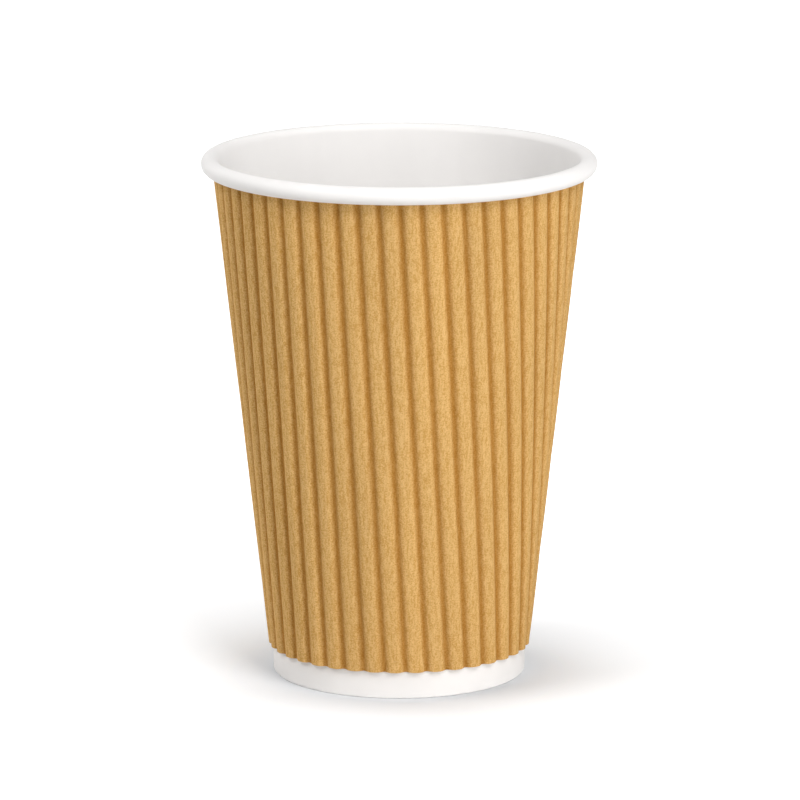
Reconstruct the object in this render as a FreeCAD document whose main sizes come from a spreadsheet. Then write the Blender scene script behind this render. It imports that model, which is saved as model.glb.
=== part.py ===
import FreeCAD, Part
import Sketcher
import math
import os

# Paper hot-drink cup with a corrugated kraft wrap, in millimetres.
# Origin: centre of the foot ring, on the surface that the cup stands on; +Z runs up the cup's axis.
# An azimuth is counted in degrees about +Z, from +X towards +Y, and the front of the cup faces -Y.

SIZES = [
    ("cup_height", 120.0, "table to the top of the rolled rim"),
    ("rim_diameter", 90.0, "outside of the rolled rim"),
    ("base_diameter", 58.0, "outside of the white foot band"),
    ("board", 0.4, "thickness of the side wall's board"),
    ("roll_diameter", 3.95, "outside of the rim's roll"),
    ("roll_gap", 0.05, "cut edge of the roll to the wall"),
    ("hem_drop", 1.0, "underside of the bottom disc down to the start of the taper"),
    ("fold_drop", 1.5, "underside of the bottom disc down to the folded-in edge"),
    ("disc_board", 0.4, "thickness of the bottom disc's board"),
    ("disc_recess", 7.0, "table to the underside of the bottom disc"),
    ("disc_bend", 0.6, "inside radius where the disc turns down"),
    ("seam_width", 8.0, "lap of the side wall's glued seam"),
    ("seam_azimuth", 7.0, "middle of the side wall's seam"),
    ("seam_fade", 3.0, "pressed taper at the top of the seam"),
    ("wrap_paper", 0.24, "thickness of the kraft paper"),
    ("flute_depth", 0.82, "height of the waves"),
    ("flute_pitch", 4.71, "distance from wave to wave in the flat blank"),
    ("flute_shift", 1.5, "first valley right of the blank's middle line"),
    ("flute_fullness", 0.25, "how much rounder the crests are than the valleys"),
    ("wrap_azimuth", -118.0, "middle line of the blank on the cup"),
    ("wrap_rise", 0.4, "start of the taper to the lower edge of the wrap"),
    ("wrap_top_gap", 0.1, "upper edge of the wrap to the roll above it"),
    ("glue_line", 0.02, "glue between two layers"),
    ("lap_width", 8.0, "overlap of the wrap's two ends, halfway up"),
    ("lap_margin", 1.0, "flat paper that shows beside the overlap"),
    ("crush_length", 6.0, "length over which the waves are pressed flat"),
]

DERIVED = [
    ("hem_height", "disc_recess - hem_drop", "straight foot band below the taper"),
    ("fold_height", "disc_recess - fold_drop", "top of the board folded in under the cup"),
    ("hem_radius", "base_diameter / 2 - board", "inside of the foot band"),
    ("roll_radius", "roll_diameter / 2", "outside radius of the roll"),
    ("roll_x", "rim_diameter / 2 - roll_radius", "middle of the roll, from the axis"),
    ("roll_z", "cup_height - roll_radius", "middle of the roll, from the table"),
    ("roll_open", "acos((roll_radius - board - roll_gap) / roll_radius)", "arc the roll stops short"),
    ("rise", "hypot(roll_x - hem_radius; roll_z - hem_height)", "top of the foot band to the roll"),
    ("lean", "asin((roll_x - hem_radius) / rise)", "slope of that line from the axis"),
    ("cone_angle", "lean - asin(roll_radius / rise)", "taper of the side wall from the axis"),
    ("disc_turn", "disc_bend + disc_board", "outside radius where the disc turns down"),
    ("disc_top", "disc_recess + disc_board", "table to the floor that the drink stands on"),
]

NODES = ["cup_wall", "base_disc", "ripple_sleeve"]

# The wrap's faces: how finely the waves are split, and how close neighbouring edges must lie to be sewn.
STRIPS_PER_WAVE = 5
STRIPS_PER_END = 6
POINTS_PER_CREASE = 11
POINT_CROWDING = 0.7
SLOPE_STEP = 1e-4
SEWING_GAP = 1e-4

doc = FreeCAD.newDocument("paper_cup")
sheet = doc.addObject("Spreadsheet::Sheet", "sizes")


def fill_sheet():
    """One row for each size: its name, its value and what it measures."""
    rows = [(alias, str(value), note) for alias, value, note in SIZES]
    rows += [(alias, "=" + formula, note) for alias, formula, note in DERIVED]
    for row, (alias, text, note) in enumerate(rows, start=1):
        sheet.set(f"A{row}", alias)
        sheet.set(f"B{row}", text)
        sheet.set(f"C{row}", note)
        sheet.setAlias(f"B{row}", alias)
    doc.recompute()


def size(alias):
    """The value of one cell as a plain number, in millimetres or degrees."""
    cell = sheet.get(alias)
    return float(getattr(cell, "Value", cell))


def flat(radius, height):
    """A point of a sketch, whose x is the radius and whose y is the height."""
    return FreeCAD.Vector(radius, height, 0)


def new_sketch(name):
    """A sketch that stands in the plane through the cup's axis."""
    sketch = doc.addObject("Sketcher::SketchObject", name)
    upright = FreeCAD.Rotation(FreeCAD.Vector(1, 0, 0), 90)
    sketch.Placement = FreeCAD.Placement(FreeCAD.Vector(), upright)
    return sketch


def tie(sketch, kind, value, expression, *where):
    """A dimension of the sketch, bound to an expression of the sheet."""
    index = sketch.addConstraint(Sketcher.Constraint(kind, *where, value))
    sketch.setExpression(f"Constraints[{index}]", expression)


def tie_point(sketch, geometry, end, radius, height):
    """Holds one point of the sketch at a radius and a height given by expressions."""
    origin = (-1, 1)
    drawn = sketch.getPoint(geometry, end)
    tie(sketch, "DistanceX", drawn.x, radius, *origin, geometry, end)
    tie(sketch, "DistanceY", drawn.y, height, *origin, geometry, end)


def join(sketch, kind, first, second):
    sketch.addConstraint(Sketcher.Constraint(kind, *first, *second))


def revolved(name, section):
    """The section turned once round the cup's axis."""
    ring = doc.addObject("Part::Revolution", name)
    ring.Source = section
    ring.Axis = FreeCAD.Vector(0, 0, 1)
    ring.Base = FreeCAD.Vector(0, 0, 0)
    ring.Angle = 360.0
    ring.Solid = True
    return ring


def thickened(name, path, thickness):
    """The section of a sheet of board that follows the path on its drink side."""
    section = doc.addObject("Part::Offset2D", name)
    section.Source = path
    section.Mode = "Skin"
    section.Fill = True
    section.setExpression("Value", thickness)
    return section


def cup_wall():
    """Side wall: foot hem, straight band, taper and rolled rim of one board, with a glued lap."""
    hem, board, fold = size("hem_radius"), size("board"), size("fold_height")
    inner = hem - size("disc_board")
    slope = math.radians(size("cone_angle"))
    roll, roll_x, roll_z = size("roll_radius"), size("roll_x"), size("roll_z")
    start = math.pi - slope
    stop = start + math.radians(size("roll_open")) - 2 * math.pi
    turns = (start, stop)
    on_roll = [flat(roll_x + roll * math.cos(turn), roll_z + roll * math.sin(turn)) for turn in turns]
    foot = [flat(inner, fold), flat(inner, board), flat(hem, board), flat(hem, size("hem_height"))]

    path = new_sketch("wall_path")
    corners = foot + on_roll[:1]
    for first, second in zip(corners, corners[1:]):
        path.addGeometry(Part.LineSegment(first, second))
    circle = Part.Circle(flat(roll_x, roll_z), FreeCAD.Vector(0, 0, 1), roll)
    rim = path.addGeometry(Part.ArcOfCircle(circle, stop, start))
    tie_point(path, 0, 1, "sizes.hem_radius - sizes.disc_board", "sizes.fold_height")
    tie_point(path, 0, 2, "sizes.hem_radius - sizes.disc_board", "sizes.board")
    tie_point(path, 1, 2, "sizes.hem_radius", "sizes.board")
    tie_point(path, 2, 2, "sizes.hem_radius", "sizes.hem_height")
    tie_point(path, rim, 3, "sizes.roll_x", "sizes.roll_z")
    tie(path, "Radius", roll, "sizes.roll_radius", rim)
    for number in range(len(corners) - 2):
        join(path, "Coincident", (number, 2), (number + 1, 1))
    join(path, "Tangent", (rim - 1, 2), (rim, 2))
    cut_edge = "sizes.roll_x - sizes.roll_radius * cos(sizes.roll_open - sizes.cone_angle)"
    tie(path, "DistanceX", on_roll[1].x, cut_edge, -1, 1, rim, 1)
    ring = revolved("wall_ring", thickened("wall_section", path, "-sizes.board"))

    seam = wall_seam(on_roll[0])
    wall = doc.addObject("Part::Fuse", "cup_wall")
    wall.Base = ring
    wall.Tool = seam
    return wall


def wall_seam(top):
    """The lap of the side wall: a strip of its board on the drink side, pressed out below the roll."""
    slope = math.radians(size("cone_angle"))
    board, fade = size("board"), size("seam_fade")
    foot_z = size("disc_top") + size("glue_line")
    along = FreeCAD.Vector(math.sin(slope), math.cos(slope), 0)
    across = FreeCAD.Vector(-math.cos(slope), math.sin(slope), 0)
    foot = flat(size("hem_radius") + (foot_z - size("hem_height")) * math.tan(slope), foot_z)
    sunk = across * (board / 2)
    face = across * board
    corners = [foot - sunk, foot + face, top - along * fade + face, top - sunk]

    strip = new_sketch("seam_section")
    for first, second in zip(corners, corners[1:] + corners[:1]):
        strip.addGeometry(Part.LineSegment(first, second))
    for number in range(len(corners)):
        join(strip, "Coincident", (number, 2), ((number + 1) % len(corners), 1))
    foot_y = "(sizes.disc_top + sizes.glue_line)"
    foot_x = f"(sizes.hem_radius + ({foot_y} - sizes.hem_height) * tan(sizes.cone_angle))"
    top_x = "(sizes.roll_x - sizes.roll_radius * cos(sizes.cone_angle))"
    top_y = "(sizes.roll_z + sizes.roll_radius * sin(sizes.cone_angle))"
    board_x, board_y = "sizes.board * cos(sizes.cone_angle)", "sizes.board * sin(sizes.cone_angle)"
    fade_x, fade_y = "sizes.seam_fade * sin(sizes.cone_angle)", "sizes.seam_fade * cos(sizes.cone_angle)"
    tie_point(strip, 0, 1, f"{foot_x} + {board_x} / 2", f"{foot_y} - {board_y} / 2")
    tie_point(strip, 1, 1, f"{foot_x} - {board_x}", f"{foot_y} + {board_y}")
    tie_point(strip, 2, 1, f"{top_x} - {fade_x} - {board_x}", f"{top_y} - {fade_y} + {board_y}")
    tie_point(strip, 3, 1, f"{top_x} + {board_x} / 2", f"{top_y} - {board_y} / 2")
    ring = revolved("seam_ring", strip)

    slab = doc.addObject("Part::Box", "seam_slab")
    slab.setExpression("Length", "sizes.rim_diameter / 2")
    slab.setExpression("Width", "sizes.seam_width")
    slab.setExpression("Height", "sizes.cup_height")
    slab.setExpression("Placement.Base.x", "sizes.seam_width / 2 * sin(sizes.seam_azimuth)")
    slab.setExpression("Placement.Base.y", "-sizes.seam_width / 2 * cos(sizes.seam_azimuth)")
    slab.setExpression("Placement.Rotation.Angle", "sizes.seam_azimuth")
    lap = doc.addObject("Part::Common", "wall_lap")
    lap.Base = ring
    lap.Tool = slab
    return lap


def base_disc():
    """Bottom disc, turned down at its edge into the hem of the side wall."""
    hem, turn, top = size("hem_radius"), size("disc_turn"), size("disc_top")
    path = new_sketch("disc_path")
    path.addGeometry(Part.LineSegment(flat(0, top), flat(hem - turn, top)))
    circle = Part.Circle(flat(hem - turn, top - turn), FreeCAD.Vector(0, 0, 1), turn)
    path.addGeometry(Part.ArcOfCircle(circle, 0, math.pi / 2))
    path.addGeometry(Part.LineSegment(flat(hem, top - turn), flat(hem, size("board"))))
    tie_point(path, 1, 3, "sizes.hem_radius - sizes.disc_turn", "sizes.disc_top - sizes.disc_turn")
    tie(path, "Radius", turn, "sizes.disc_turn", 1)
    join(path, "Tangent", (0, 2), (1, 2))
    join(path, "Tangent", (1, 1), (2, 1))
    path.addConstraint(Sketcher.Constraint("PointOnObject", 0, 1, -2))
    path.addConstraint(Sketcher.Constraint("Horizontal", 0))
    path.addConstraint(Sketcher.Constraint("Vertical", 2))
    tie(path, "DistanceY", size("board"), "sizes.board", -1, 1, 2, 2)
    return revolved("base_disc", thickened("disc_section", path, "-sizes.disc_board"))


class WrapBlank:
    """The corrugated kraft blank, laid flat and then rolled onto the side wall's taper.

    Flat, the blank is a sector of a ring. Its point (u, v) lies u to the right of the middle line
    and v above the point where the taper would meet the axis. The waves run along v, all parallel,
    so on the cup they stand upright at the middle line and lean ever more towards the two ends,
    where they are pressed flat and one end is glued over the other.
    """

    def __init__(self):
        self.slope = math.radians(size("cone_angle"))
        self.paper = size("wrap_paper")
        self.depth = size("flute_depth")
        self.pitch = size("flute_pitch")
        self.shift = size("flute_shift")
        self.fullness = size("flute_fullness")
        self.azimuth = math.radians(size("wrap_azimuth"))
        clear = size("board") + size("glue_line")
        back_x = size("hem_radius") + clear * math.cos(self.slope)
        back_z = size("hem_height") - clear * math.sin(self.slope)
        self.tip_z = back_z - back_x / math.tan(self.slope)
        top_z = size("cup_height") - size("roll_diameter") - size("wrap_top_gap")
        bottom_z = size("hem_height") + size("wrap_rise")
        self.low = (bottom_z - self.tip_z) / math.cos(self.slope)
        self.high = (top_z - self.tip_z) / math.cos(self.slope)
        middle = (self.low + self.high) / 2
        half_turn = math.pi * math.sin(self.slope)
        lap = size("lap_width") / middle
        margin = size("lap_margin") / middle
        self.under_end = -half_turn
        self.left = self.under_end + lap + margin
        self.right = half_turn - margin
        self.over_end = half_turn + lap
        self.crush = size("crush_length") / middle
        self.lift = self.paper + size("glue_line")

    def pressed(self, room):
        """0 at the flat end and 1 past the length over which the waves are pressed."""
        share = max(0.0, min(1.0, room / self.crush))
        return share * share * (3 - 2 * share)

    def middle_height(self, u, v):
        """Height of the middle of the paper above the side wall."""
        angle = math.atan2(u, v)
        turn = 2 * math.pi * (u - self.shift) / self.pitch
        wave = self.depth * ((1 - math.cos(turn)) / 2 + self.fullness * math.sin(turn) ** 2)
        from_left = self.pressed(angle - self.left)
        from_right = self.pressed(self.right - angle)
        return self.paper / 2 + wave * from_left * from_right + self.lift * (1 - from_right)

    def rolled(self, angle, reach, height):
        """Where a point of the flat blank, at a height above it, lies on the cup."""
        azimuth = self.azimuth + angle / math.sin(self.slope)
        radius = reach * math.sin(self.slope) + height * math.cos(self.slope)
        z = self.tip_z + reach * math.cos(self.slope) - height * math.sin(self.slope)
        return FreeCAD.Vector(radius * math.cos(azimuth), radius * math.sin(azimuth), z)

    def on_waves(self, u, v, side):
        """A point of the paper's outer face (side 1) or inner face (side -1) among the waves."""
        before, after = self.middle_height(u - SLOPE_STEP, v), self.middle_height(u + SLOPE_STEP, v)
        rise = (after - before) / (2 * SLOPE_STEP)
        half = side * self.paper / 2 / math.hypot(1, rise)
        u_face = u - half * rise
        height = self.middle_height(u, v) + half
        return self.rolled(math.atan2(u_face, v), math.hypot(u_face, v), height)

    def on_flat(self, angle, reach, side):
        """A point of the outer or inner face where the paper is pressed flat."""
        level = self.lift if angle > 0 else 0.0
        return self.rolled(angle, reach, level + self.paper * (1 + side) / 2)

    def lower_end(self, u):
        """Where the wave at u begins: on the blank's lower edge, or beside a flat end."""
        if u < self.low * math.sin(self.left):
            return u / math.tan(self.left)
        if u > self.low * math.sin(self.right):
            return u / math.tan(self.right)
        return math.sqrt(self.low**2 - u**2)

    def upper_end(self, u):
        return math.sqrt(max(0.0, self.high**2 - u**2))

    def wave_lines(self):
        """The creases u = constant that split each wave into strips, and the corners of the waves."""
        ends, edges = (self.left, self.right), (self.high, self.low)
        corners = [edge * math.sin(end) for end in ends for edge in edges]
        step = self.pitch / STRIPS_PER_WAVE
        closest = step / 3
        first = math.ceil((min(corners) - self.shift) / step)
        last = math.floor((max(corners) - self.shift) / step)
        creases = [self.shift + step * number for number in range(first, last + 1)]
        kept = [crease for crease in creases if min(abs(crease - corner) for corner in corners) > closest]
        return sorted(kept + corners)

    def crease(self, u, side):
        """Points up one crease of the outer or inner face, crowded to its foot where it leans more."""
        lean = u / (self.high * math.sin(self.right))
        power = 1 + POINT_CROWDING * lean**2
        low, high = self.lower_end(u), self.upper_end(u)
        shares = [(number / (POINTS_PER_CREASE - 1)) ** power for number in range(POINTS_PER_CREASE)]
        return [self.on_waves(u, low + (high - low) * share, side) for share in shares]


def polygon(*points):
    return Part.Face(Part.makePolygon([*points, points[0]]))


def creased_edge(points):
    """A smooth edge up the cup, or a straight one where it is short."""
    if points[0].distanceToPoint(points[-1]) < size("flute_pitch"):
        return Part.makeLine(points[0], points[-1])
    curve = Part.BSplineCurve()
    curve.interpolate(points)
    return curve.toShape()


def strip_between(first, second):
    """The narrow face between two neighbouring creases; at a corner of the waves it is a triangle."""
    for here, there in ((first, second), (second, first)):
        if here[0].distanceToPoint(here[-1]) < SEWING_GAP:
            return polygon(here[0], there[0], there[-1])
    return Part.makeRuledSurface(creased_edge(first), creased_edge(second))


def paper_edge(outer, inner):
    """The paper's thickness between two points of its outer face and the two behind them."""
    return Part.makeRuledSurface(Part.makeLine(*outer), Part.makeLine(*inner))


def wave_faces(blank, lines):
    """The waves, strip by strip, with the paper's edges below and above them."""
    creases = {side: [blank.crease(u, side) for u in lines] for side in (1, -1)}
    low_left, low_right = blank.low * math.sin(blank.left), blank.low * math.sin(blank.right)
    faces = []
    for number, (first, second) in enumerate(zip(lines, lines[1:])):
        pairs = [(creases[side][number], creases[side][number + 1]) for side in (1, -1)]
        faces += [strip_between(*pair) for pair in pairs]
        faces.append(paper_edge(*[[points[-1] for points in pair] for pair in pairs]))
        if low_left < (first + second) / 2 < low_right:
            faces.append(paper_edge(*[[points[0] for points in pair] for pair in pairs]))
    return faces


def end_faces(blank, lines, wave_side, paper_end):
    """A flat glued end of the wrap, in narrow flat strips that run up the cup."""
    at_waves = sorted(line / math.sin(wave_side) for line in lines)
    at_waves = [reach for reach in at_waves if reach > blank.low - SEWING_GAP]
    step = (paper_end - wave_side) / STRIPS_PER_END
    angles = [wave_side + step * number for number in range(STRIPS_PER_END + 1)]
    faces = []
    for number, (near, far) in enumerate(zip(angles, angles[1:])):
        reaches = at_waves if number == 0 else [blank.low, blank.high]
        corners = {}
        for side in (1, -1):
            near_points = [blank.on_flat(near, reach, side) for reach in reaches]
            far_points = [blank.on_flat(far, reach, side) for reach in (blank.high, blank.low)]
            faces.append(polygon(*near_points, *far_points))
            corners[side] = (near_points[0], near_points[-1], far_points[0], far_points[1])
        low, high, far_high, far_low = zip(corners[1], corners[-1])
        faces.append(paper_edge(*zip(low, far_low)))
        faces.append(paper_edge(*zip(high, far_high)))
        if number == STRIPS_PER_END - 1:
            faces.append(paper_edge(*zip(far_low, far_high)))
    return faces


def ripple_sleeve():
    """The kraft wrap: one closed solid of even thickness."""
    blank = WrapBlank()
    lines = blank.wave_lines()
    faces = wave_faces(blank, lines)
    faces += end_faces(blank, lines, blank.left, blank.under_end)
    faces += end_faces(blank, lines, blank.right, blank.over_end)
    skin = Part.Compound(faces)
    skin.sewShape(SEWING_GAP)
    if skin.ShapeType != "Shell" or not skin.isClosed():
        raise RuntimeError("the wrap's faces do not close")
    sleeve = doc.addObject("Part::Feature", "ripple_sleeve")
    sleeve.Shape = Part.makeSolid(skin)
    sleeve.Placement = FreeCAD.Placement()
    return sleeve


def check_document():
    """Stops where an object failed to compute or a piece is not a sound solid."""
    for item in doc.Objects:
        bad = {"Invalid", "Error"} & set(item.State)
        if bad:
            raise RuntimeError(f"{item.Name} did not compute: {item.State}")
    for node in NODES:
        shape = doc.getObject(node).Shape
        if shape.isNull() or not shape.isValid() or not shape.Solids:
            raise RuntimeError(f"{node} is not a sound solid")


def write_parts():
    os.makedirs("parts", exist_ok=True)
    for node in NODES:
        piece = doc.getObject(node)
        piece.Label = node
        piece.Shape.exportStep(f"parts/{node}.step")
        box = piece.Shape.BoundBox
        print(f"{node}: {len(piece.Shape.Solids)} solid, {piece.Shape.Volume:.1f} mm3, top {box.ZMax:.2f} mm")


fill_sheet()
cup_wall()
base_disc()
doc.recompute()
ripple_sleeve()
doc.recompute()
check_document()
write_parts()
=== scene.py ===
import math

import bmesh
import bpy
from bpy.props import FloatProperty, FloatVectorProperty, IntProperty, PointerProperty
from mathutils import Euler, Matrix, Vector, noise


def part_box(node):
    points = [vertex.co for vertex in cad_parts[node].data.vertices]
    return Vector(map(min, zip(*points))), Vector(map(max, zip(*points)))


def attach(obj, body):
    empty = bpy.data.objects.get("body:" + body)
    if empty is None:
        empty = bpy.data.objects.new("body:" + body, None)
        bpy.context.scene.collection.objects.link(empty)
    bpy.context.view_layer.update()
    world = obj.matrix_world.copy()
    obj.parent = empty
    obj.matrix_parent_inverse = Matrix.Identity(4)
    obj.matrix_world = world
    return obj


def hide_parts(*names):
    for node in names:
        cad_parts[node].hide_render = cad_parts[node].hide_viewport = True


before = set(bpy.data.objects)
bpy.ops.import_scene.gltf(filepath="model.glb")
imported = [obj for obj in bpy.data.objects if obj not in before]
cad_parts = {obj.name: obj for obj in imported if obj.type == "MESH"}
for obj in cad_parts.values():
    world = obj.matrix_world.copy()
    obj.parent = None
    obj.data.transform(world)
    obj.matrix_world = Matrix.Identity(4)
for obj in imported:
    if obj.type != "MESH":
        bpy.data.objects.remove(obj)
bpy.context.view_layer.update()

# Paper hot-drink cup with a corrugated kraft wrap: the looks of its three glued pieces.
# Metres, +Z up the cup's axis; the front faces -Y.

bl_info = {
    "name": "Ripple Paper Cup",
    "version": (1, 0, 0),
    "blender": (4, 5, 0),
    "location": "3D View > Sidebar > Paper Cup",
    "description": "A white board cup with a rolled rim and a corrugated kraft wrap",
    "category": "Add Mesh",
}

WALL_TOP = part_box("cup_wall")[1]
MM = 0.001


def length(name, value, description):
    """A size that the sidebar shows as a length; value in millimetres."""
    return FloatProperty(name=name, description=description, default=value * MM, unit="LENGTH", precision=5)


def turn(name, degrees, description):
    """An angle, given in degrees."""
    return FloatProperty(name=name, description=description, default=math.radians(degrees), unit="ROTATION")


def share(name, value, description):
    """A part of a whole, from 0 to 1."""
    return FloatProperty(name=name, description=description, default=value, min=0, max=1, subtype="FACTOR")


def colour(name, value, description):
    """A colour in linear light."""
    return FloatVectorProperty(
        name=name, description=description, default=value, min=0, max=1, subtype="COLOR"
    )


def power(name, value, description):
    """The power of a lamp in watts."""
    return FloatProperty(name=name, description=description, default=value, min=0)


def count(name, value, least, description):
    """How many steps a mesh has along one of its ways."""
    return IntProperty(name=name, description=description, default=value, min=least)


class BoardSizes(bpy.types.PropertyGroup):
    """Sizes of the white side wall and the bottom disc."""

    height: length("Height", WALL_TOP.z / MM, "Table to the top of the rolled rim")
    rim_diameter: length("Rim diameter", 2 * WALL_TOP.x / MM, "Outside of the rolled rim")
    base_diameter: length("Base diameter", 58.0, "Outside of the foot band")
    board: length("Board", 0.4, "Thickness of the side wall and the bottom disc")
    roll_diameter: length("Roll diameter", 3.95, "Outside of the rim's roll")
    roll_gap: length("Roll gap", 0.05, "Cut edge of the roll to the wall")
    hem_height: length("Hem height", 6.0, "Straight foot band below the taper")
    fold_height: length("Fold height", 5.5, "Top of the board folded in under the cup")
    disc_recess: length("Disc recess", 7.0, "Table to the underside of the bottom disc")
    disc_bend: length("Disc bend", 0.6, "Inside radius where the disc turns down")
    seam_width: length("Seam width", 8.0, "Lap of the side wall's glued seam")
    seam_fade: length("Seam fade", 3.0, "Pressed taper at the top of the seam")
    seam_azimuth: turn("Seam azimuth", 7.0, "Middle of the side wall's seam")
    around: count("Around", 240, 12, "Steps round the cup")
    roll_steps: count("Roll steps", 40, 8, "Steps round the rim's roll")
    wall_step: length("Wall step", 6.0, "Longest step along the side wall's section")
    disc_step: length("Disc step", 4.0, "Longest step along the bottom disc's section")


class WrapSizes(bpy.types.PropertyGroup):
    """Sizes of the corrugated kraft wrap."""

    paper: length("Paper", 0.24, "Thickness of the kraft paper")
    depth: length("Flute depth", 0.82, "Height of the waves")
    pitch: length("Flute pitch", 4.71, "Distance from wave to wave in the flat blank")
    shift: length("Flute shift", 1.5, "First valley right of the blank's middle line")
    fullness: share("Fullness", 0.25, "How much rounder the crests are than the valleys")
    azimuth: turn("Azimuth", -118.0, "Middle line of the blank on the cup")
    rise: length("Rise", 0.4, "Start of the taper to the lower edge of the wrap")
    top_gap: length("Top gap", 0.1, "Upper edge of the wrap to the roll above it")
    glue: length("Glue line", 0.02, "Glue between two layers")
    lap: length("Lap", 8.0, "Overlap of the wrap's two ends, halfway up")
    margin: length("Margin", 1.0, "Flat paper that shows beside the overlap")
    crush: length("Crush", 6.0, "Length over which the waves are pressed flat")
    columns: count("Columns", 14, 4, "Columns to a wave")
    rows: count("Rows", 36, 4, "Rows from the lower to the upper edge")


class CupColours(bpy.types.PropertyGroup):
    """Colours of the papers and of the floor."""

    kraft: colour("Kraft", (0.548, 0.300, 0.078), "Body of the kraft paper")
    kraft_pale: colour("Pale fibres", (0.735, 0.462, 0.185), "Lighter fibres in the kraft paper")
    # Painted shade: this colour multiplies the kraft between the waves.
    kraft_valley_shade: colour("Valley shade", (0.64, 0.51, 0.30), "Tint over the kraft paper between the waves")
    kraft_dark: colour("Dark flecks", (0.26, 0.13, 0.035), "Darker flecks in the kraft paper")
    white: colour("White board", (0.905, 0.886, 0.870), "Coated face of the white board")
    disc: colour("Bottom disc", (0.89, 0.872, 0.855), "Board of the bottom disc")
    floor: colour("Floor", (0.665, 0.68, 0.70), "Studio floor as the camera sees it")
    floor_bounce: colour("Floor bounce", (0.8, 0.8, 0.8), "Studio floor as it lights the cup")


class StudioSettings(bpy.types.PropertyGroup):
    """Camera, lamps and the floor's painted shadow pool."""

    distance: length("Camera distance", 1250.0, "Camera before the cup's axis")
    camera_height: length("Camera height", 337.6, "Camera above the table")
    camera_side: length("Camera side", 0.19, "Camera right of the cup's axis")
    pitch: turn("Camera pitch", 12.396, "How far the camera looks down")
    lens: FloatProperty(name="Lens", description="Focal length in millimetres", default=251.6)
    ambient: share("Ambient", 0.0, "Strength of the room's light")
    key: power("Key lamp", 6.2, "Low lamp at the front right")
    high: power("High lamp", 9.1, "Raised lamp at the front right")
    left: power("Left lamp", 7.6, "Raised lamp at the left")
    right: power("Right lamp", 1.8, "Low lamp at the right")
    back: power("Back lamp", 3.9, "Low lamp at the back left")
    overhead: power("Overhead lamp", 2.9, "Lamp overhead")
    lamp_size: length("Lamp size", 600.0, "Side of each square soft box")
    overhead_size: length("Overhead size", 1300.0, "Side of the overhead soft box")
    lamp_distance: length("Lamp distance", 1300.0, "Soft box to the middle of the cup")
    # The floor's darker pool is a painted shadow round the cup's foot.
    shadow_pool_shift: length("Shadow pool shift", 5.0, "Middle of the floor's darker pool, before the cup's axis")
    shadow_pool_radius: length("Shadow pool radius", 26.5, "Radius that keeps the plain floor colour")
    shadow_pool_fade: length("Shadow pool fade", 27.0, "How slowly the floor turns white outside that radius")


class Taper:
    """The straight slope of the side wall, from the foot band up to the roll."""

    def __init__(self, sizes):
        self.board = sizes.board
        self.hem = sizes.base_diameter / 2 - sizes.board
        self.hem_height = sizes.hem_height
        self.roll = sizes.roll_diameter / 2
        self.roll_x = sizes.rim_diameter / 2 - self.roll
        self.roll_z = sizes.height - self.roll
        rise = math.hypot(self.roll_x - self.hem, self.roll_z - self.hem_height)
        lean = math.asin((self.roll_x - self.hem) / rise)
        self.slope = lean - math.asin(self.roll / rise)
        self.roll_open = math.acos((self.roll - sizes.board - sizes.roll_gap) / self.roll)

    def at(self, height, out=0.0):
        """The point of the drink-side face at a height up the slope, moved out of the cup."""
        radius = self.hem + (height - self.hem_height) * math.tan(self.slope)
        return Vector((radius + out * math.cos(self.slope), 0, height - out * math.sin(self.slope)))

    def roll_start(self, out=0.0):
        """Where the slope runs into the roll."""
        reach = self.roll - out
        x = self.roll_x - reach * math.cos(self.slope)
        return Vector((x, 0, self.roll_z + reach * math.sin(self.slope)))


# Meshes

MERGE = 0.001 * MM
SMOOTH_BELOW = math.radians(50)
FOLD_STEPS = 3
BEND_STEPS = 8
LAP_COLUMNS = 8
LAP_ROWS = 24


def chain(mesh, points):
    """Vertices at the points, joined by edges one after the other."""
    verts = [mesh.verts.new(point) for point in points]
    for first, second in zip(verts, verts[1:]):
        mesh.edges.new((first, second))
    return verts


def rounded(mesh, corners, offset, steps):
    """The corners of an open line turned into arcs, which start at the offset from each."""
    bmesh.ops.bevel(
        mesh, geom=corners, offset=offset, offset_type="OFFSET", segments=steps, profile=0.5,
        affect="VERTICES", material=-1,
    )


def split_long(mesh, longest):
    """Each edge that is longer than that, cut into even parts."""
    for edge in mesh.edges[:]:
        cuts = int(edge.calc_length() / longest)
        if cuts:
            bmesh.ops.subdivide_edges(mesh, edges=[edge], cuts=cuts)


def merged(mesh):
    """The mesh with its meeting points joined and its faces turned out."""
    bmesh.ops.remove_doubles(mesh, verts=mesh.verts[:], dist=MERGE)
    bmesh.ops.recalc_face_normals(mesh, faces=mesh.faces[:])


def turned(mesh, steps):
    """The mesh's open line turned once round the cup's axis, closed at its seam and at its pole."""
    line = mesh.verts[:] + mesh.edges[:]
    bmesh.ops.spin(
        mesh, geom=line, cent=(0, 0, 0), axis=(0, 0, 1), angle=2 * math.pi, steps=steps, use_merge=True
    )
    merged(mesh)


def finished(context, mesh, name, replaced, thickness, material):
    """The mesh as a sheet of even thickness that stands for one solid of the cup."""
    data = bpy.data.meshes.new(name)
    mesh.to_mesh(data)
    mesh.free()
    raw = bpy.data.objects.new(name + "_sheet", data)
    context.collection.objects.link(raw)
    sheet = raw.modifiers.new("board", "SOLIDIFY")
    sheet.thickness = thickness
    sheet.offset = 0
    sheet.use_even_offset = True
    graph = context.evaluated_depsgraph_get()
    thick = bpy.data.meshes.new_from_object(raw.evaluated_get(graph))
    bpy.data.objects.remove(raw)
    thick.name = name
    thick.materials.clear()
    thick.materials.append(material)
    thick.shade_smooth()
    thick.set_sharp_from_angle(angle=SMOOTH_BELOW)
    piece = bpy.data.objects.new(name, thick)
    context.collection.objects.link(piece)
    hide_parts(replaced)
    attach(piece, "root")


# Materials

WHITE = (1.0, 1.0, 1.0, 1.0)

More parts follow.
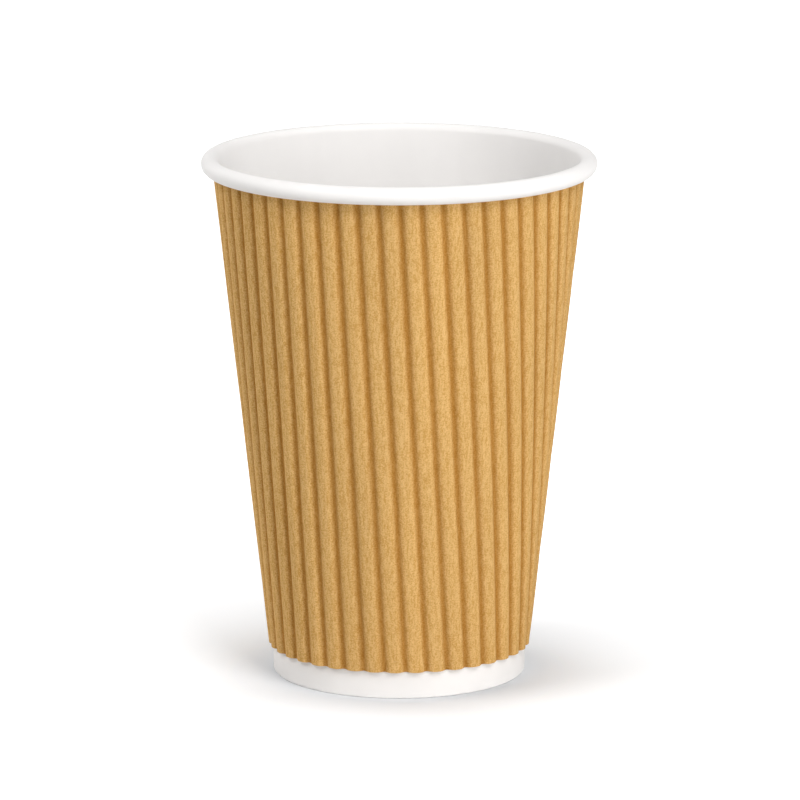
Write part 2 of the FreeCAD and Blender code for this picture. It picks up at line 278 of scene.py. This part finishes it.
# Each noise's share in the fibres, its scale beside the grain's, and the stretch of it that is used.
GRAIN_WEIGHT = 0.62
STREAK_WEIGHT = 0.38
STREAK_SCALE = 0.7
FLECK_SCALE = 0.6
FLECK_HEIGHT = 0.5
FIBRE_RANGE = (0.395, 0.605)
FLECK_RANGE = (0.63, 0.74)
CLOUD_RANGE = (0.3, 0.7)

# The kraft paper's flecks, the crest height from which it has no painted valley shade, and its clouds'
# tones.
FLECK_STRENGTH = 0.2
UNSHADED_CREST = 0.8
KRAFT_TONES = (0.925, 1.055)

# The white board's clouds beside its full colour.
BOARD_CLOUD = 0.965

# The roughness of each paper, from its fibres' low to their high places.
KRAFT_ROUGHNESS = (0.95, 0.85)
COATED_ROUGHNESS = (0.37, 0.50)
DISC_ROUGHNESS = (0.45, 0.58)


def socket(group, name, kind, in_out, default=None):
    """A new socket on the outside of a node group."""
    made = group.interface.new_socket(name, in_out=in_out, socket_type=kind)
    if default is not None:
        made.default_value = default


def feed(tree, target, value):
    """Links an output to an input, or writes a plain value there."""
    if isinstance(value, bpy.types.NodeSocket):
        tree.links.new(value, target)
    else:
        target.default_value = value


def node(tree, kind, settings=None, inputs=None):
    """A new node with its settings and the values of its inputs; an output as a value is linked."""
    made = tree.nodes.new(kind)
    for key, value in (settings or {}).items():
        setattr(made, key, value)
    for key, value in (inputs or {}).items():
        feed(tree, made.inputs[key], value)
    return made


def math_node(tree, operation, first, second):
    """The result of an operation on two values."""
    return node(tree, "ShaderNodeMath", {"operation": operation}, {0: first, 1: second}).outputs[0]


def vector_node(tree, operation, first, second):
    """The node of an operation on two vectors."""
    return node(tree, "ShaderNodeVectorMath", {"operation": operation}, {0: first, 1: second})


def noise_at(tree, place, scale):
    """Soft noise from 0 to 1 at a place."""
    inputs = {"Vector": place, "Scale": scale, "Detail": 2.0}
    return node(tree, "ShaderNodeTexNoise", inputs=inputs).outputs["Fac"]


def map_range(tree, value, low, high, to_low=0.0, to_high=1.0, interpolation="LINEAR"):
    """The value's range from low to high, drawn out to another range."""
    settings = {"clamp": True, "interpolation_type": interpolation}
    inputs = {"Value": value, "From Min": low, "From Max": high, "To Min": to_low, "To Max": to_high}
    return node(tree, "ShaderNodeMapRange", settings, inputs).outputs["Result"]


def mixed(tree, factor, first, second, blend="MIX"):
    """Two colours mixed by a factor."""
    made = node(tree, "ShaderNodeMix", {"data_type": "RGBA", "blend_type": blend})
    for key, value in (("Factor", factor), ("A", first), ("B", second)):
        feed(tree, [item for item in made.inputs if item.name == key and item.enabled][0], value)
    return [item for item in made.outputs if item.enabled][0]


def seen_rays(tree):
    """1 on the rays that show the background to the camera, in a gloss or through glass."""
    rays = node(tree, "ShaderNodeLightPath").outputs
    shown = math_node(tree, "MAXIMUM", rays["Is Camera Ray"], rays["Is Glossy Ray"])
    return math_node(tree, "MAXIMUM", shown, rays["Is Transmission Ray"])


def paper_fibres():
    """Group: the uneven fibres of paper, drawn out along the cup's height."""
    found = bpy.data.node_groups.get("paper_fibres")
    if found:
        return found
    group = bpy.data.node_groups.new("paper_fibres", "ShaderNodeTree")
    socket(group, "Vector", "NodeSocketVector", "INPUT")
    socket(group, "Grain", "NodeSocketFloat", "INPUT", 1600.0)
    socket(group, "Stretch", "NodeSocketFloat", "INPUT", 0.3)
    socket(group, "Clouds", "NodeSocketFloat", "INPUT", 60.0)
    for name in ("Fibres", "Flecks", "Clouding", "Height"):
        socket(group, name, "NodeSocketFloat", "OUTPUT")
    entry = group.nodes.new("NodeGroupInput").outputs
    leave = group.nodes.new("NodeGroupOutput").inputs
    place, scale = entry["Vector"], entry["Grain"]
    stretch = node(group, "ShaderNodeCombineXYZ", inputs={"X": 1.0, "Y": 1.0, "Z": entry["Stretch"]})
    along = vector_node(group, "MULTIPLY", place, stretch.outputs[0]).outputs[0]
    grain = noise_at(group, place, scale)
    streaks = noise_at(group, along, math_node(group, "MULTIPLY", scale, STREAK_SCALE))
    flecks = noise_at(group, place, math_node(group, "MULTIPLY", scale, FLECK_SCALE))
    clouds = noise_at(group, along, entry["Clouds"])
    weighed_grain = math_node(group, "MULTIPLY", grain, GRAIN_WEIGHT)
    fibres = math_node(group, "ADD", weighed_grain, math_node(group, "MULTIPLY", streaks, STREAK_WEIGHT))
    height = math_node(group, "ADD", fibres, math_node(group, "MULTIPLY", flecks, FLECK_HEIGHT))
    group.links.new(map_range(group, fibres, *FIBRE_RANGE), leave["Fibres"])
    group.links.new(map_range(group, flecks, *FLECK_RANGE), leave["Flecks"])
    group.links.new(map_range(group, clouds, *CLOUD_RANGE), leave["Clouding"])
    group.links.new(height, leave["Height"])
    return group


def fibres_in(tree, grain, stretch, clouds):
    """The fibre group on the piece's own coordinates."""
    place = node(tree, "ShaderNodeTexCoord").outputs["Object"]
    inputs = {"Vector": place, "Grain": grain, "Stretch": stretch, "Clouds": clouds}
    return node(tree, "ShaderNodeGroup", {"node_tree": paper_fibres()}, inputs).outputs


def new_material(name):
    """A new material, with its node tree and its Principled shader."""
    material = bpy.data.materials.new(name)
    material.use_nodes = True
    tree = material.node_tree
    return material, tree, tree.nodes["Principled BSDF"]


def with_alpha(rgb):
    """A colour as a shader socket takes it."""
    return (*rgb, 1.0)


def paper_surface(tree, shader, fibres, tint, roughness, specular, relief, depth):
    """A paper's tint, its sheen and the relief of its fibres."""
    tree.links.new(tint, shader.inputs["Base Color"])
    tree.links.new(map_range(tree, fibres["Fibres"], 0.0, 1.0, *roughness), shader.inputs["Roughness"])
    shader.inputs["Specular IOR Level"].default_value = specular
    inputs = {"Strength": relief, "Distance": depth, "Height": fibres["Height"]}
    bump = node(tree, "ShaderNodeBump", inputs=inputs)
    tree.links.new(bump.outputs["Normal"], shader.inputs["Normal"])


def kraft_material(colours):
    """Matt brown kraft paper: pale and dark fibres, slow clouds of tone, and painted shade between the
    waves.
    """
    material, tree, shader = new_material("kraft_paper")
    out = fibres_in(tree, grain=3200.0, stretch=0.15, clouds=70.0)
    body = mixed(tree, out["Fibres"], with_alpha(colours.kraft), with_alpha(colours.kraft_pale))
    flecks = math_node(tree, "MULTIPLY", out["Flecks"], FLECK_STRENGTH)
    flecked = mixed(tree, flecks, body, with_alpha(colours.kraft_dark))
    # Painted shade: the valley colour multiplies the kraft where the crest layer is low, between the waves.
    crest = node(tree, "ShaderNodeAttribute", {"attribute_name": "crest"}).outputs["Fac"]
    raised = map_range(tree, crest, 0.0, UNSHADED_CREST, interpolation="SMOOTHSTEP")
    pressed = mixed(tree, raised, with_alpha(colours.kraft_valley_shade), WHITE)
    toned = mixed(tree, 1.0, flecked, pressed, "MULTIPLY")
    tone = map_range(tree, out["Clouding"], 0.0, 1.0, *KRAFT_TONES)
    grey = node(tree, "ShaderNodeCombineColor", inputs={"Red": tone, "Green": tone, "Blue": tone})
    tint = mixed(tree, 1.0, toned, grey.outputs[0], "MULTIPLY")
    paper_surface(tree, shader, out, tint, KRAFT_ROUGHNESS, specular=0.1, relief=0.35, depth=0.08 * MM)
    return material


def board_material(name, tint, roughness):
    """White coated board: smooth, with a faint cloud and the ghost of its fibres."""
    material, tree, shader = new_material(name)
    out = fibres_in(tree, grain=700.0, stretch=0.5, clouds=90.0)
    darker = tuple(channel * BOARD_CLOUD for channel in tint)
    body = mixed(tree, out["Clouding"], with_alpha(darker), with_alpha(tint))
    paper_surface(tree, shader, out, body, roughness, specular=0.05, relief=0.15, depth=0.04 * MM)
    return material


# Pieces


class PAPERCUP_OT_side_wall(bpy.types.Operator):
    """Side wall of one board: folded hem, foot band, taper and rolled rim, with its glued lap"""

    bl_idname = "papercup.side_wall"
    bl_label = "Side Wall"

    def execute(self, context):
        sizes = context.scene.paper_cup_board
        taper = Taper(sizes)
        half = sizes.board / 2
        fold = taper.hem - sizes.board
        mesh = bmesh.new()
        foot = [(fold - half, 0, sizes.fold_height), (fold - half, 0, half), (taper.hem + half, 0, half)]
        line = chain(mesh, foot + [taper.at(sizes.hem_height, half), taper.roll_start(half)])
        bmesh.ops.spin(
            mesh, geom=[line[-1]], cent=(taper.roll_x, 0, taper.roll_z), axis=(0, 1, 0),
            angle=2 * math.pi - taper.roll_open, steps=sizes.roll_steps,
        )
        rounded(mesh, line[1:3], half, FOLD_STEPS)
        split_long(mesh, sizes.wall_step)
        turned(mesh, sizes.around)
        self.add_lap(mesh, sizes, taper)
        material = board_material("coated_board", context.scene.paper_cup_colours.white, COATED_ROUGHNESS)
        finished(context, mesh, "side_wall", "cup_wall", sizes.board, material)
        return {"FINISHED"}

    def add_lap(self, mesh, sizes, taper):
        """The second layer of board at the seam, on the drink side, pressed out below the roll."""
        foot = sizes.disc_recess + sizes.board
        top = taper.roll_start().z
        grid = bmesh.ops.create_grid(mesh, x_segments=LAP_COLUMNS, y_segments=LAP_ROWS, size=1)["verts"]
        for vert in grid:
            height = foot + (top - foot) * (vert.co.y + 1) / 2
            pressed = max(0.0, min(1.0, (top - height) / sizes.seam_fade))
            across = vert.co.x * sizes.seam_width / 2
            point = taper.at(height, sizes.board * (0.5 - pressed))
            vert.co = Euler((0, 0, sizes.seam_azimuth + across / point.x)).to_matrix() @ point


class PAPERCUP_OT_bottom_disc(bpy.types.Operator):
    """Bottom disc, turned down at its edge into the hem"""

    bl_idname = "papercup.bottom_disc"
    bl_label = "Bottom Disc"

    def execute(self, context):
        sizes = context.scene.paper_cup_board
        half = sizes.board / 2
        flange = sizes.base_diameter / 2 - sizes.board - half
        middle = sizes.disc_recess + half
        mesh = bmesh.new()
        line = chain(mesh, [(0, 0, middle), (flange, 0, middle), (flange, 0, sizes.board)])
        rounded(mesh, line[1:2], sizes.disc_bend + half, BEND_STEPS)
        split_long(mesh, sizes.disc_step)
        turned(mesh, sizes.around)
        material = board_material("disc_board", context.scene.paper_cup_colours.disc, DISC_ROUGHNESS)
        finished(context, mesh, "bottom_disc", "base_disc", sizes.board, material)
        return {"FINISHED"}


# The wrap's slow unevenness: how much of the depth, how much of a wave's turn in radians and how much
# of the crest value behind the painted valley shade it takes, each with its change per metre across and
# along the waves and its layer.
DEPTH_LOSS = 0.03
DEPTH_DRIFT = (130, 22, 3.7)
WAVE_SWAY = 0.16
SWAY_DRIFT = (90, 30, 9.1)
SHADE_JITTER = 0.12
JITTER_DRIFT = (95, 16, 6.3)


def drift(u, v, change):
    """Slow unevenness at a point of the blank, from -1 to 1."""
    across, along, layer = change
    return noise.noise(Vector((u * across, v * along, layer)))


class Blank:
    """The corrugated kraft blank, laid flat as a sector of a ring and then rolled onto the taper.

    Its point (u, v) lies u to the right of the middle line and v above the point where the taper
    would meet the axis. The waves run along v, all parallel, so on the cup they lean more and more
    towards the two ends, where they are pressed flat and one end is glued over the other.
    """

    def __init__(self, wrap, taper, cup_height):
        self.wrap = wrap
        self.slope = taper.slope
        back = taper.at(taper.hem_height, taper.board + wrap.glue)
        self.tip_z = back.z - back.x / math.tan(self.slope)
        self.low = (taper.hem_height + wrap.rise - self.tip_z) / math.cos(self.slope)
        self.high = (cup_height - 2 * taper.roll - wrap.top_gap - self.tip_z) / math.cos(self.slope)
        middle = (self.low + self.high) / 2
        half_turn = math.pi * math.sin(self.slope)
        self.under_end = -half_turn
        self.left = -half_turn + (wrap.lap + wrap.margin) / middle
        self.right = half_turn - wrap.margin / middle
        self.over_end = half_turn + wrap.lap / middle
        self.crush = wrap.crush / middle

    def pressed(self, room):
        """0 at the flat end and 1 past the length over which the waves are pressed."""
        amount = max(0.0, min(1.0, room / self.crush))
        return amount * amount * (3 - 2 * amount)

    def height(self, u, v):
        """Height of the middle of the paper above the side wall, with a hand's unevenness."""
        wrap = self.wrap
        phase = 2 * math.pi * (u - wrap.shift) / wrap.pitch + WAVE_SWAY * drift(u, v, SWAY_DRIFT)
        depth = wrap.depth * (1 - DEPTH_LOSS + DEPTH_LOSS * drift(u, v, DEPTH_DRIFT))
        wave = depth * ((1 - math.cos(phase)) / 2 + wrap.fullness * math.sin(phase) ** 2)
        angle = math.atan2(u, v)
        from_right = self.pressed(self.right - angle)
        lift = (wrap.paper + wrap.glue) * (1 - from_right)
        return wrap.paper / 2 + wave * self.pressed(angle - self.left) * from_right + lift

    def crest(self, u, v):
        """0 in a valley and about 1 on a crest, made a little uneven at random; it masks the painted shade
        between the waves.
        """
        raised = (self.height(u, v) - self.wrap.paper / 2) / self.wrap.depth
        return raised + SHADE_JITTER * drift(u, v, JITTER_DRIFT)

    def span(self, u):
        """Lower and upper end of the crease at u."""
        upper = math.sqrt(max(0.0, self.high**2 - u**2))
        for end in (self.under_end, self.over_end):
            if abs(u) > self.low * abs(math.sin(end)) and u * end > 0:
                return min(upper, u / math.tan(end)), upper
        return math.sqrt(self.low**2 - u**2), upper

    def rolled(self, u, v):
        """Where the blank's point (u, v) lies on the cup."""
        reach, angle, height = math.hypot(u, v), math.atan2(u, v), self.height(u, v)
        azimuth = self.wrap.azimuth + angle / math.sin(self.slope)
        radius = reach * math.sin(self.slope) + height * math.cos(self.slope)
        z = self.tip_z + reach * math.cos(self.slope) - height * math.sin(self.slope)
        return Vector((radius * math.cos(azimuth), radius * math.sin(azimuth), z))


class PAPERCUP_OT_kraft_wrap(bpy.types.Operator):
    """Corrugated kraft wrap, glued round the side wall"""

    bl_idname = "papercup.kraft_wrap"
    bl_label = "Kraft Wrap"

    def execute(self, context):
        sizes, wrap = context.scene.paper_cup_board, context.scene.paper_cup_wrap
        blank = Blank(wrap, Taper(sizes), sizes.height)
        first = blank.high * math.sin(blank.under_end)
        last = blank.high * math.sin(blank.over_end)
        columns = round((last - first) / wrap.pitch * wrap.columns)
        mesh = bmesh.new()
        # The crest layer masks the painted shade between the waves.
        crest = mesh.verts.layers.float.new("crest")
        grid = bmesh.ops.create_grid(mesh, x_segments=columns, y_segments=wrap.rows, size=1)["verts"]
        for vert in grid:
            u = first + (last - first) * (vert.co.x + 1) / 2
            low, high = blank.span(u)
            v = low + (high - low) * (vert.co.y + 1) / 2
            vert[crest] = blank.crest(u, v)
            vert.co = blank.rolled(u, v)
        merged(mesh)
        material = kraft_material(context.scene.paper_cup_colours)
        finished(context, mesh, "kraft_wrap", "ripple_sleeve", wrap.paper, material)
        return {"FINISHED"}


# Stage

# Degrees round from the camera to its right, and degrees above the middle of the cup.
LAMPS = (
    ("key", 35, 12),
    ("high", 30, 45),
    ("left", -70, 45),
    ("right", 95, 12),
    ("back", -130, 12),
    ("overhead", 0, 90),
)
LAMP_TARGET = Vector((0, 0, 0.06))
FLOOR_RADIUS = 6
FLOOR_CORNERS = 96
SENSOR_WIDTH = 36


def area_lamp(context, studio, name, azimuth, elevation):
    """A square soft box that faces the middle of the cup."""
    data = bpy.data.lights.new(name, "AREA")
    data.size = studio.overhead_size if name == "overhead" else studio.lamp_size
    data.energy = getattr(studio, name)
    lamp = bpy.data.objects.new(name, data)
    facing = Euler((math.radians(90 - elevation), 0, math.radians(azimuth)))
    lamp.rotation_euler = facing
    lamp.location = LAMP_TARGET + facing.to_matrix() @ Vector((0, 0, studio.lamp_distance))
    context.collection.objects.link(lamp)


class PAPERCUP_OT_studio(bpy.types.Operator):
    """White floor, soft lamps and the camera"""

    bl_idname = "papercup.studio"
    bl_label = "Studio"

    def execute(self, context):
        studio, colours = context.scene.paper_cup_studio, context.scene.paper_cup_colours
        self.make_floor(context, studio, colours)
        self.make_world(context, studio)
        for name, azimuth, elevation in LAMPS:
            area_lamp(context, studio, name, azimuth, elevation)
        self.make_camera(context, studio)
        context.scene.view_settings.view_transform = "Standard"
        return {"FINISHED"}

    def make_floor(self, context, studio, colours):
        mesh = bmesh.new()
        bmesh.ops.create_circle(mesh, cap_ends=True, segments=FLOOR_CORNERS, radius=FLOOR_RADIUS)
        data = bpy.data.meshes.new("floor")
        mesh.to_mesh(data)
        mesh.free()
        data.materials.append(self.floor_material(studio, colours))
        floor = bpy.data.objects.new("floor", data)
        context.collection.objects.link(floor)

    def floor_material(self, studio, colours):
        """A plain floor near the cup, which turns white to the camera farther out, so that a painted shadow
        pool stays round the cup's foot.
        """
        material, tree, shader = new_material("floor")
        shader.inputs["Roughness"].default_value = 0.9
        shader.inputs["Specular IOR Level"].default_value = 0.1
        seen = seen_rays(tree)
        tint = mixed(tree, seen, with_alpha(colours.floor_bounce), with_alpha(colours.floor))
        tree.links.new(tint, shader.inputs["Base Color"])
        # Painted shadow: the white glow fades in only outside the pool, so the floor stays darker round the
        # cup.
        place = node(tree, "ShaderNodeTexCoord").outputs["Object"]
        away = vector_node(tree, "DISTANCE", place, (0, -studio.shadow_pool_shift, 0)).outputs["Value"]
        outside = math_node(tree, "MAXIMUM", math_node(tree, "SUBTRACT", away, studio.shadow_pool_radius), 0.0)
        glow = math_node(tree, "DIVIDE", outside, math_node(tree, "ADD", outside, studio.shadow_pool_fade))
        shown_glow = math_node(tree, "MULTIPLY", seen, glow)
        lift = node(tree, "ShaderNodeEmission", inputs={"Strength": shown_glow})
        both = node(tree, "ShaderNodeAddShader", inputs={0: shader.outputs[0], 1: lift.outputs[0]})
        tree.links.new(both.outputs[0], tree.nodes["Material Output"].inputs["Surface"])
        return material

    def make_world(self, context, studio):
        world = bpy.data.worlds.new("studio")
        context.scene.world = world
        world.use_nodes = True
        tree = world.node_tree
        background = tree.nodes["Background"]
        background.inputs["Color"].default_value = WHITE
        strength = map_range(tree, seen_rays(tree), 0.0, 1.0, studio.ambient, 1.0)
        tree.links.new(strength, background.inputs["Strength"])

    def make_camera(self, context, studio):
        data = bpy.data.cameras.new("camera")
        data.lens = studio.lens
        data.sensor_width = SENSOR_WIDTH
        camera = bpy.data.objects.new("camera", data)
        camera.location = (studio.camera_side, -studio.distance, studio.camera_height)
        camera.rotation_euler = (math.pi / 2 - studio.pitch, 0, 0)
        context.collection.objects.link(camera)
        context.scene.camera = camera


class PAPERCUP_PT_panel(bpy.types.Panel):
    """Sidebar panel that builds the cup piece by piece"""

    bl_label = "Paper Cup"
    bl_space_type = "VIEW_3D"
    bl_region_type = "UI"
    bl_category = "Paper Cup"

    def draw(self, context):
        for name in GROUPS:
            box = self.layout.box()
            settings = getattr(context.scene, name)
            for key in settings.__annotations__:
                box.prop(settings, key)
        for operator in OPERATORS:
            self.layout.operator(operator.bl_idname)


OPERATORS = (PAPERCUP_OT_side_wall, PAPERCUP_OT_bottom_disc, PAPERCUP_OT_kraft_wrap, PAPERCUP_OT_studio)
GROUPS = {
    "paper_cup_board": BoardSizes,
    "paper_cup_wrap": WrapSizes,
    "paper_cup_colours": CupColours,
    "paper_cup_studio": StudioSettings,
}


def register():
    for made in (*GROUPS.values(), *OPERATORS, PAPERCUP_PT_panel):
        bpy.utils.register_class(made)
    for name, group in GROUPS.items():
        setattr(bpy.types.Scene, name, PointerProperty(type=group))


def unregister():
    for name in GROUPS:
        delattr(bpy.types.Scene, name)
    for made in (PAPERCUP_PT_panel, *reversed(OPERATORS), *reversed(GROUPS.values())):
        bpy.utils.unregister_class(made)


def main():
    register()
    bpy.ops.papercup.side_wall()
    bpy.ops.papercup.bottom_disc()
    bpy.ops.papercup.kraft_wrap()
    bpy.ops.papercup.studio()


if __name__ == "__main__":
    main()
